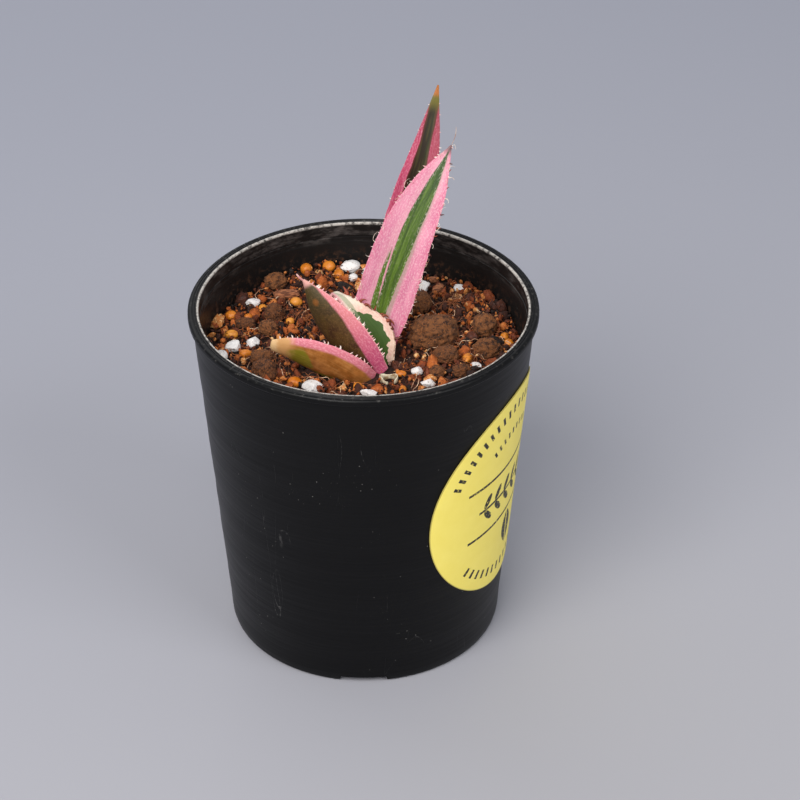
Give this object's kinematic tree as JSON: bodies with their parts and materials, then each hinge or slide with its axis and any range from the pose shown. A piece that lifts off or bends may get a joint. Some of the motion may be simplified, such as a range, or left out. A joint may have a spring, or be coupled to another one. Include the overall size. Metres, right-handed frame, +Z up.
{
  "type": "potted agave",
  "caption": "Young variegated agave with a few upright and spreading toothed leaves in a tapered round plastic nursery pot of gritty soil.",
  "frame": {"origin": "middle of the pot's base, on the surface the pot stands on", "axes": "+Z up along the pot's axis; the viewer stands at -Y, +X to the viewer's right, and the round label faces +X and a little towards -Y"},
  "size_m": [0.09, 0.09, 0.1484],
  "materials": {
    "pot": "satin",
    "round_label": "matte",
    "stem_with_roots": "matte",
    "soil": "matte",
    "leaf_tall_front": "satin",
    "leaf_tall_back": "satin",
    "leaf_short_cream": "satin",
    "leaf_side_olive": "satin",
    "leaf_stub_front": "satin",
    "perlite_chip": "matte",
    "dried_husk": "matte",
    "fertilizer_pellet": "satin",
    "soil_clump": "matte",
    "bark_chip": "matte"
  },
  "bodies": {
    "root": {"bark_chip_01": "bark_chip", "bark_chip_02": "bark_chip", "bark_chip_03": "bark_chip", "dried_husk_01": "dried_husk", "fertilizer_pellet_01": "fertilizer_pellet", "fertilizer_pellet_02": "fertilizer_pellet", "fertilizer_pellet_03": "fertilizer_pellet", "fertilizer_pellet_04": "fertilizer_pellet", "fertilizer_pellet_05": "fertilizer_pellet", "fertilizer_pellet_06": "fertilizer_pellet", "fertilizer_pellet_07": "fertilizer_pellet", "fertilizer_pellet_08": "fertilizer_pellet", "fertilizer_pellet_09": "fertilizer_pellet", "fertilizer_pellet_10": "fertilizer_pellet", "fertilizer_pellet_11": "fertilizer_pellet", "fertilizer_pellet_12": "fertilizer_pellet", "fertilizer_pellet_13": "fertilizer_pellet", "fertilizer_pellet_14": "fertilizer_pellet", "fertilizer_pellet_15": "fertilizer_pellet", "fertilizer_pellet_16": "fertilizer_pellet", "fertilizer_pellet_17": "fertilizer_pellet", "leaf_short_cream": "leaf_short_cream", "leaf_side_olive": "leaf_side_olive", "leaf_stub_front": "leaf_stub_front", "leaf_tall_back": "leaf_tall_back", "leaf_tall_front": "leaf_tall_front", "perlite_chip_01": "perlite_chip", "perlite_chip_02": "perlite_chip", "perlite_chip_03": "perlite_chip", "perlite_chip_04": "perlite_chip", "perlite_chip_05": "perlite_chip", "perlite_chip_06": "perlite_chip", "perlite_chip_07": "perlite_chip", "perlite_chip_08": "perlite_chip", "perlite_chip_09": "perlite_chip", "perlite_chip_10": "perlite_chip", "perlite_chip_11": "perlite_chip", "perlite_chip_12": "perlite_chip", "perlite_chip_13": "perlite_chip", "perlite_chip_14": "perlite_chip", "perlite_chip_15": "perlite_chip", "pot": "pot", "round_label": "round_label", "soil": "soil", "soil_clump_01": "soil_clump", "soil_clump_02": "soil_clump", "soil_clump_03": "soil_clump", "soil_clump_04": "soil_clump", "soil_clump_05": "soil_clump", "soil_clump_06": "soil_clump", "soil_clump_07": "soil_clump", "soil_clump_08": "soil_clump", "soil_clump_09": "soil_clump", "soil_clump_10": "soil_clump", "soil_clump_11": "soil_clump", "soil_clump_12": "soil_clump", "soil_clump_13": "soil_clump", "stem_with_roots": "stem_with_roots"}
  },
  "joints": []
}
